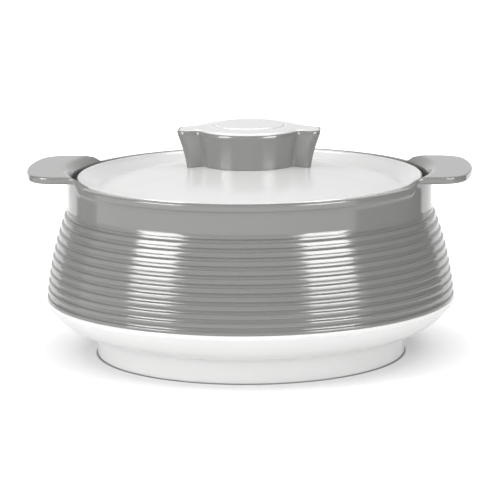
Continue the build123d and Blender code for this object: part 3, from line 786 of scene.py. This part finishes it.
class CASSEROLE_OT_lid(bpy.types.Operator):
    """Turn the lid: cover with lip, channel and dome, liner and seal"""

    bl_idname = "casserole.lid"
    bl_label = "Lid"

    def execute(self, context):
        self.cover()
        self.liner()
        inner, outer = SEAL_RADII
        outline = rounded([
            (inner, LINER_FLANGE_BOTTOM, 0), (inner, BOWL_FLANGE_TOP, 0.5),
            (outer, BOWL_FLANGE_TOP, 0.5), (outer, LINER_FLANGE_BOTTOM, 0),
        ])
        seal = turn_outline("lid_seal", outline, 192)
        finish_piece(seal, "silicone", "lid", "lid_gasket")
        return {"FINISHED"}

    def cover(self):
        skirt, outside = LID_RADIUS - COVER_WALL, LID_RADIUS - SKIRT_SETBACK
        outline = rounded([
            (skirt, LINER_FLANGE_BOTTOM, 0), (outside, LINER_FLANGE_BOTTOM, 0.3),
            (outside, SKIRT_HEIGHT, 0.6), (LID_RADIUS, SKIRT_HEIGHT + 1.2, 0),
        ])
        lip_height = LID_LIP_HEIGHT - LID_LIP_ROUNDING
        outline += arc((LID_RADIUS - LID_LIP_ROUNDING, lip_height), LID_LIP_ROUNDING, 0.0, pi, 12)

        # One long arc from the lip's inner edge down to the channel's floor
        lip = Vector((LID_RADIUS - 2 * LID_LIP_ROUNDING, lip_height))
        channel = Vector((LID_FLOOR_RADIUS, LID_FLOOR_HEIGHT))
        chord = channel - lip
        curve = arc_radius(chord.length / 2, COVE_SAG)
        centre = lip.lerp(channel, 0.5) + Vector((chord.y, -chord.x)).normalized() * (curve - COVE_SAG)
        start = atan2(lip.y - centre.y, lip.x - centre.x)
        end = atan2(channel.y - centre.y, channel.x - centre.x)
        cove = arc(centre, curve, start, end, 15)
        outline += cove[1:-2]
        outline += soft_join(cove[-2], channel, (SHOULDER_RADIUS, SHOULDER_HEIGHT), dome(84.0))

        hole = PLUG_RADIUS + PLUG_GAP
        hub_height = dome(0.0, COVER_WALL)[1] - HUB_DEPTH
        back = SHOULDER_RADIUS - COVER_WALL
        outline += [dome(radius) for radius in spread(82.0, hole, 40)]
        outline += [(hole, hub_height), (HUB_RADIUS, hub_height), dome(HUB_RADIUS, COVER_WALL)]
        outline += [dome(radius, COVER_WALL) for radius in spread(30.0, back, 10)]
        floor = LINER_FLANGE_TOP + 0.2
        outline += [(back, floor), (skirt, floor)]
        cover = turn_outline("lid_cover_shell", outline, 320, 60.0)
        finish_piece(cover, "white_plastic", "lid", "lid_cover")

    def liner(self):
        """Dish under the cover, with two rings on its underside and a flange that holds the seal."""
        bottom, floor = LINER_BOTTOM, LINER_BOTTOM + LINER_WALL
        corners = [(0, bottom, 0)]
        for radius in LINER_RING_RADII:
            far, low = radius + LINER_RING_WIDTH, bottom - LINER_RING_DEPTH
            corners += [(radius, bottom, 0.3), (radius, low, 0.4), (far, low, 0.4), (far, bottom, 0.3)]
        corners += [
            (LINER_RADIUS, bottom, 6), (LINER_TOP_RADIUS, LINER_FLANGE_BOTTOM, 0.3),
            (LINER_FLANGE_RADIUS, LINER_FLANGE_BOTTOM, 0.3),
            (LINER_FLANGE_RADIUS, LINER_FLANGE_TOP, 0.3), (94.2, LINER_FLANGE_TOP, 0),
            (LINER_RADIUS - LINER_WALL, floor, 4), (0, floor, 0),
        ]
        liner = turn_outline("lid_liner_shell", rounded(corners), 256)
        finish_piece(liner, "white_plastic", "lid", "lid_liner")


# ---------------- the knob

# Plan of the knob at its top and at its foot: round middle, wings' reach, their width at root and tip,
# and the roundings of the flute beside a wing and of the wing's corner
KNOB_TOP = dict(radius=31.6, reach=43.6, root=21.6, tip=23.4, flute=3.5, corner=6.0)
KNOB_FOOT = dict(radius=28.7, reach=37.2, root=22.4, tip=23.6, flute=2.2, corner=4.5)
KNOB_CURVE = 1.4
KNOB_FOOT_HEIGHT = DOME_HEIGHT - 2.3
KNOB_ROUNDING_RISE = 2.4
KNOB_INSIDE_HEIGHT = DOME_HEIGHT + 3
KNOB_GAP = 0.1

# The cap's seat in the grip, the cap's place inside the grip's lip, and its ring round the disc
CAP_SEAT = KNOB_HEIGHT - 2.2
CAP_INSET = 1.65
CAP_EDGE = 0.7
CAP_EDGE_HEIGHT = KNOB_HEIGHT - 0.1
CAP_RING_RADIUS = 24.0
CAP_CREST = DISC_HEIGHT - 0.8
CAP_RING = ((23.4, 0.12), (22.7, 0.02), (21.5, 0.0), (21.1, 0.12), (21.0, 0.3), (21.0, 1.0))
DISC_RADIUS = 20.9
DISC_THICKNESS = 1.8

# Points on each stretch of a quarter of the plan: tip, corner, flank, flute, round middle
KNOB_POINTS = (5, 8, 7, 10, 22)


def knob_loop(radius, reach, root, tip, flute, corner, inset=0.0):
    """Plan of the knob, moved inwards by inset: a quarter from the wing's tip, mirrored to four."""
    slope = (root - tip) / 2 / (reach - radius)
    flank = inset * hypot(1, slope)
    middle, end = radius - inset, reach - inset
    half_tip = tip / 2 + slope * inset - flank
    base = half_tip + slope * end
    lean = atan2(1, slope)
    round_off, bend = max(corner - inset, 0.4), flute + inset
    # Centre of the corner arc: round_off inside both the tip and the flank
    corner_x = end - round_off
    corner_y = base - slope * corner_x - round_off * hypot(1, slope)
    # Centre of the flute: bend outside the flank, and middle plus bend from the axis
    offset = base + bend * hypot(1, slope)
    a, b, c = 1 + slope**2, -2 * slope * offset, offset**2 - (middle + bend) ** 2
    flute_x = (-b + sqrt(b * b - 4 * a * c)) / (2 * a)
    flute_y = offset - slope * flute_x
    meet = atan2(flute_y, flute_x)

    on_tip, on_corner, on_flank, on_flute, on_middle = KNOB_POINTS
    first = Vector(polar(round_off, lean, (corner_x, corner_y)))
    last = Vector(polar(-bend, lean, (flute_x, flute_y)))
    points = [(end, corner_y * i / on_tip) for i in range(on_tip)]
    points += arc((corner_x, corner_y), round_off, 0.0, lean, on_corner)[:-1]
    points += [tuple(first.lerp(last, i / on_flank)) for i in range(on_flank)]
    points += arc((flute_x, flute_y), -bend, lean, meet, on_flute)[:-1]
    points += arc((0.0, 0.0), middle, meet, pi / 2, on_middle)
    half = points + [(-x, y) for x, y in points[-2::-1]]
    return half + [(-x, -y) for x, y in half[1:-1]]


def blend_loops(first, second, share):
    """Loop that lies between two others of as many points."""
    return [(a[0] + (b[0] - a[0]) * share, a[1] + (b[1] - a[1]) * share) for a, b in zip(first, second)]


def knob_level(share, inset=0.0):
    """Plan of the knob's side at a share of its height, which flares more towards the top."""
    foot, top = knob_loop(**KNOB_FOOT, inset=inset), knob_loop(**KNOB_TOP, inset=inset)
    return blend_loops(foot, top, share**KNOB_CURVE)


def lifted(loop, height):
    """A plan loop at a height, which is a number or a function of x and y."""
    return [(x, y, height(x, y) if callable(height) else height) for x, y in loop]


def shrunk(loop, share):
    return [(x * share, y * share) for x, y in loop]


def on_dome(gap):
    return lambda x, y: dome(hypot(x, y))[1] + gap


def stack_loops(name, loops, angle=50.0):
    """Closed shell through a stack of equal loops of (x, y, z) points, extruded from a filled ring."""
    deselect_all()
    count = len(loops[0])
    bpy.ops.mesh.primitive_circle_add(
        vertices=count, radius=30 * MM, fill_type="NGON", location=(0, 0, 0)
    )
    piece = bpy.context.object
    piece.name = piece.data.name = name
    bpy.ops.object.mode_set(mode="EDIT")
    for _ in loops[1:]:
        bpy.ops.mesh.extrude_region_move(TRANSFORM_OT_translate={"value": (0, 0, MM)})
    bpy.ops.object.mode_set(mode="OBJECT")
    for vertex in piece.data.vertices:
        column = round(atan2(vertex.co.y, vertex.co.x) / (2 * pi) * count) % count
        vertex.co = Vector(loops[round(vertex.co.z / MM)][column]) * MM
    bpy.ops.object.mode_set(mode="EDIT")
    weld()
    smooth(piece, angle)
    return piece


class CASSEROLE_OT_knob(bpy.types.Operator):
    """Shape the winged knob: grey grip, white cap and bare disc"""

    bl_idname = "casserole.knob"
    bl_label = "Knob"

    def execute(self, context):
        self.grip(context.scene.casserole_sizes.knob_edge / MM)
        self.cap()
        bottom = DISC_HEIGHT - DISC_THICKNESS
        outline = rounded([
            (0, bottom, 0), (DISC_RADIUS, bottom, 0),
            (DISC_RADIUS, DISC_HEIGHT, 0.6), (0, DISC_HEIGHT, 0),
        ], 9.0)
        badge = turn_outline("knob_badge", outline, 160)
        finish_piece(badge, "white_plastic", "lid", "knob_disc")
        return {"FINISHED"}

    def grip(self, edge):
        """Hollow tapered grip, from the middle of its underside outwards, up and down inside."""
        foot, tall = KNOB_FOOT_HEIGHT, KNOB_HEIGHT - KNOB_FOOT_HEIGHT
        rest = on_dome(KNOB_GAP)
        loops = [lifted(shrunk(knob_level(0.0), share), rest) for share in (0.02, 0.3, 0.6, 0.85, 0.97)]
        loops += [lifted(knob_level(0.0, 0.15), rest), lifted(knob_level(0.0), on_dome(0.25))]
        top = KNOB_HEIGHT - KNOB_ROUNDING_RISE
        for share in spread(0.0, 1.0, 15)[1:]:
            z = foot + (top - foot) * share
            above = on_dome(0.3 + 0.1 * share)
            loops.append(lifted(knob_level((z - foot) / tall), lambda x, y: max(z, above(x, y))))
        for tilt in (12, 24, 36, 48, 60, 72, 82, 90):
            lean = radians(tilt)
            z = top + KNOB_ROUNDING_RISE * sin(lean)
            loops.append(lifted(knob_level((z - foot) / tall, edge * (1 - cos(lean))), z))
        lip, inside = edge + 0.25, knob_level(0.1, 2.8)
        loops.append(lifted(knob_level(1.0, lip), KNOB_HEIGHT))
        loops += [lifted(knob_level(1.0, lip + 0.05), z) for z in (KNOB_HEIGHT - 0.1, CAP_SEAT)]
        loops.append(lifted(knob_level(0.9, 3.6), CAP_SEAT))
        loops += [lifted(shrunk(inside, share), KNOB_INSIDE_HEIGHT) for share in (1.0, 0.5, 0.02)]
        grip = stack_loops("knob_grip", loops)
        finish_piece(grip, "grey_plastic", "lid", "knob_body")

    def cap(self):
        """White insert with a cone that rises to a ring round the disc."""
        plan, inner = knob_level(1.0, CAP_INSET), knob_level(1.0, CAP_INSET + CAP_EDGE)
        reach = KNOB_TOP["reach"] - CAP_INSET
        rise = CAP_CREST - 0.3 - CAP_EDGE_HEIGHT

        def cone(x, y):
            share = (reach - hypot(x, y)) / (reach - CAP_RING_RADIUS)
            return CAP_EDGE_HEIGHT + rise * max(share, 0.0)

        def rounding(x, y):
            """Height of the edge's rounding, which is lower at the wings' tips."""
            return CAP_EDGE * min(1.0, 0.35 + 0.65 * (cone(x, y) - CAP_EDGE_HEIGHT))

        loops = [lifted(shrunk(plan, share), CAP_SEAT) for share in (0.02, 0.6, 1.0)]
        loops.append(lifted(plan, CAP_SEAT + 1.5))
        for tilt in range(0, 91, 15):
            lean = radians(tilt)
            shape = knob_level(1.0, CAP_INSET + CAP_EDGE * (1 - cos(lean)))
            loops.append(lifted(shape, lambda x, y: cone(x, y) - (1 - sin(lean)) * rounding(x, y)))
        ring = CAP_RING_RADIUS
        circle = [(ring * x / hypot(x, y), ring * y / hypot(x, y)) for x, y in inner]
        for share in (0.06, 0.2, 0.4, 0.6, 0.8, 0.92, 1.0):
            loops.append(lifted(blend_loops(inner, circle, share), cone))
        for radius, drop in CAP_RING:
            loops.append(lifted(shrunk(circle, radius / CAP_RING_RADIUS), CAP_CREST - drop))
        loops += [lifted(shrunk(circle, share), CAP_CREST - CAP_RING[-1][1]) for share in (0.5, 0.02)]
        cap = stack_loops("knob_cap_insert", loops)
        finish_piece(cap, "white_plastic", "lid", "knob_cap")


class CASSEROLE_OT_inner_parts(bpy.types.Operator):
    """Give the frame's own inner parts their finishes: foam, screws, washers and plug"""

    bl_idname = "casserole.inner_parts"
    bl_label = "Inner Parts"

    def execute(self, context):
        slots = {
            "body_foam": "foam", "lid_foam": "foam", "lid_fill_plug": "white_plastic",
            "knob_screws": "screw_steel", "knob_washers": "screw_steel",
        }
        for node, slot in slots.items():
            dress(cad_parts[node], slot)
        return {"FINISHED"}


# ---------------- stage

CAMERA_AZIMUTH = 2.98
CAMERA_ELEVATION = 10.68
CAMERA_ROLL = -0.51
CAMERA_DISTANCE = 1.7633
CAMERA_LENS = 210.07
CAMERA_TARGET = Vector((-0.00014, 0.0, 0.06152))
LIGHT_TARGET = Vector((0, 0, 0.07))
LIGHT_DISTANCE = 1.3
FLOOR_SIZE = 12.0
FLOOR_PAINT = 0.5

# Share of the floor's look for camera, mirror and glass that all other rays get, from 0 to 1; above 0
# the floor also sheds light on the casserole from below
FLOOR_OTHER_RAYS = 0.5


def seen_from(azimuth, elevation):
    """Direction from the casserole outwards; azimuth 0 is the front, 90 the right."""
    a, e = radians(azimuth), radians(elevation)
    return Vector((sin(a) * cos(e), -cos(a) * cos(e), sin(e)))


def add_panel(name, azimuth, elevation, distance, width, height, brightness, diffuse=True, glossy=True):
    """Rectangular soft light that faces the casserole, as bright as a mirror would show it."""
    light = bpy.data.lights.new(name, "AREA")
    light.shape = "RECTANGLE"
    light.size, light.size_y = width, height
    light.energy = brightness * pi * width * height
    panel = bpy.data.objects.new(name, light)
    bpy.context.scene.collection.objects.link(panel)
    back = seen_from(CAMERA_AZIMUTH + azimuth, elevation)
    panel.location = LIGHT_TARGET + back * distance
    panel.rotation_euler = back.to_track_quat("Z", "Y").to_euler()
    panel.visible_camera = False
    panel.visible_diffuse = diffuse
    panel.visible_glossy = glossy


def add_card(name, azimuth, distance, width, height, level):
    """Upright card on the floor that only glossy surfaces see; level is what a mirror would show."""
    card = add_plane(name, 1.0)
    back = seen_from(CAMERA_AZIMUTH + azimuth, 0)
    card.scale = (width, height, 1)
    card.location = back * distance + Vector((0, 0, height / 2 + MM))
    card.rotation_euler = back.to_track_quat("Z", "Y").to_euler()
    material = bpy.data.materials.new(name)
    material.use_nodes = True
    set_inputs(material.node_tree, material.node_tree.nodes["Principled BSDF"], {
        "Base Color": (0, 0, 0, 1),
        "Specular IOR Level": 0.0,
        "Emission Color": (1, 1, 1, 1),
        "Emission Strength": level,
    })
    card.data.materials.append(material)
    card.visible_camera = card.visible_diffuse = card.visible_shadow = card.visible_transmission = False


def seen_share(tree, others):
    """1 for rays that the camera, a mirror or glass sends, and the given share for all others."""
    path = tree.nodes.new("ShaderNodeLightPath").outputs
    share = others
    for ray in ("Is Camera Ray", "Is Glossy Ray", "Is Transmission Ray"):
        share = number_math(tree, "MAXIMUM", path[ray], share)
    return share


def mix_numbers(tree, share, first, second):
    inputs = {"Factor": share, "A": first, "B": second}
    return add_node(tree, "ShaderNodeMix", inputs, data_type="FLOAT")["Result"]


def stage_world(surround):
    """Even studio light; cameras, mirrors and glass see it white."""
    world = bpy.data.worlds.new("studio_surround")
    world.use_nodes = True
    tree = world.node_tree
    level = mix_numbers(tree, seen_share(tree, 0.0), surround, 1.0)
    set_inputs(tree, tree.nodes["Background"], {"Color": (1, 1, 1, 1), "Strength": level})
    bpy.context.scene.world = world


def stage_floor():
    """White sweep under the casserole that keeps its shadow, with a painted contact shadow under the
    foot's edge; distances are from the axis, in metres.
    """
    floor = add_plane("studio_floor", FLOOR_SIZE)
    material, tree, shader, place = start_finish("studio_floor")
    distance = vector_math(tree, "LENGTH", place)["Value"]
    seen = seen_share(tree, FLOOR_OTHER_RAYS)
    # Painted contact shadow: the floor's colour is dark under the foot's edge and white outside it
    contact_shadow_paint = map_range(tree, distance, (FOOT_RADIUS + 0.2) * MM, (FOOT_RADIUS + 1.5) * MM, 0.2, 0.85)
    # Glow that lifts the floor to white, first outside the shadow, then far away; other rays get
    # FLOOR_OTHER_RAYS of it, so it also lights the casserole from below
    near = map_range(tree, distance, 0.10, 0.155, 0.06, 0.68)
    far = map_range(tree, distance, 0.17, 1.0, 0.0, 0.5)
    glow = number_math(tree, "MULTIPLY", seen, number_math(tree, "ADD", near, far))
    set_inputs(tree, shader, {
        "Base Color": mix_numbers(tree, seen, FLOOR_PAINT, contact_shadow_paint),
        "Roughness": 0.9,
        "Specular IOR Level": 0.0,
        "Emission Color": (1, 1, 1, 1),
        "Emission Strength": glow,
    })
    floor.data.materials.append(material)


class CASSEROLE_OT_stage(bpy.types.Operator):
    """Set the camera, the lights and the white floor"""

    bl_idname = "casserole.stage"
    bl_label = "Studio"

    def execute(self, context):
        studio = context.scene.casserole_studio
        self.set_camera(context.scene)
        stage_world(studio.surround)
        stage_floor()
        # Strips show as bright bars in gloss, panels shed the light; azimuths are from the camera's
        bright = studio.strip_brightness
        for name, azimuth, width in (("left_strip", -57.5, 0.60), ("right_strip", 47.0, 0.64)):
            strip = dict(azimuth=azimuth, distance=LIGHT_DISTANCE, width=width, diffuse=False)
            add_panel(name, elevation=25.5, height=0.61, brightness=bright, **strip)
            add_panel(name + "_foot", elevation=7.5, height=0.21, brightness=0.5 * bright, **strip)
        for name, azimuth, share in (("left_side", -54, 1.15), ("right_side", 47, 0.9)):
            add_panel(
                name, azimuth, elevation=31, distance=LIGHT_DISTANCE, width=0.55, height=1.10,
                brightness=share * studio.side_brightness, glossy=False,
            )
        add_panel(
            "front_soft", azimuth=-12, elevation=7, distance=2.0, width=1.4, height=1.4,
            brightness=studio.front_brightness, glossy=False,
        )
        add_card("front_card", azimuth=-6, distance=3.0, width=4.0, height=3.0, level=0.5)
        add_card("right_card", azimuth=94, distance=0.45, width=0.56, height=0.55, level=0.03)
        add_card("left_card", azimuth=-113, distance=0.45, width=0.21, height=0.55, level=0.35)
        context.scene.view_settings.view_transform = "Standard"
        return {"FINISHED"}

    def set_camera(self, scene):
        camera = bpy.data.objects.new("studio_camera", bpy.data.cameras.new("studio_camera"))
        scene.collection.objects.link(camera)
        back = seen_from(CAMERA_AZIMUTH, CAMERA_ELEVATION)
        camera.location = CAMERA_TARGET + back * CAMERA_DISTANCE
        camera.rotation_mode = "QUATERNION"
        roll = Matrix.Rotation(radians(CAMERA_ROLL), 3, "Z").to_quaternion()
        camera.rotation_quaternion = back.to_track_quat("Z", "Y") @ roll
        camera.data.lens = CAMERA_LENS
        camera.data.sensor_width = 36.0
        camera.data.clip_end = 50.0
        scene.camera = camera


class CASSEROLE_PT_panel(bpy.types.Panel):
    """Sizes, finishes and the steps that build the casserole"""

    bl_idname = "CASSEROLE_PT_panel"
    bl_label = "Insulated Casserole"
    bl_space_type = "VIEW_3D"
    bl_region_type = "UI"
    bl_category = "Casserole"

    def draw(self, context):
        layout = self.layout
        for group_name in GROUPS:
            group = getattr(context.scene, group_name)
            box = layout.box()
            for name in group.__annotations__:
                box.prop(group, name)
        for step in STEPS:
            layout.operator(step.bl_idname)


GROUPS = {
    "casserole_sizes": CasseroleSizes,
    "casserole_finishes": CasseroleFinishes,
    "casserole_studio": CasseroleStudio,
}
STEPS = (
    CASSEROLE_OT_stage,
    CASSEROLE_OT_body,
    CASSEROLE_OT_base,
    CASSEROLE_OT_bowl,
    CASSEROLE_OT_lid,
    CASSEROLE_OT_knob,
    CASSEROLE_OT_inner_parts,
)


def register():
    for name, group in GROUPS.items():
        bpy.utils.register_class(group)
        setattr(bpy.types.Scene, name, PointerProperty(type=group))
    for step in STEPS:
        bpy.utils.register_class(step)
    bpy.utils.register_class(CASSEROLE_PT_panel)


def unregister():
    bpy.utils.unregister_class(CASSEROLE_PT_panel)
    for step in reversed(STEPS):
        bpy.utils.unregister_class(step)
    for name, group in reversed(GROUPS.items()):
        delattr(bpy.types.Scene, name)
        bpy.utils.unregister_class(group)


def main():
    register()
    bpy.ops.casserole.stage()
    bpy.ops.casserole.body()
    bpy.ops.casserole.base()
    bpy.ops.casserole.bowl()
    bpy.ops.casserole.lid()
    bpy.ops.casserole.knob()
    bpy.ops.casserole.inner_parts()


if __name__ == "__main__":
    main()
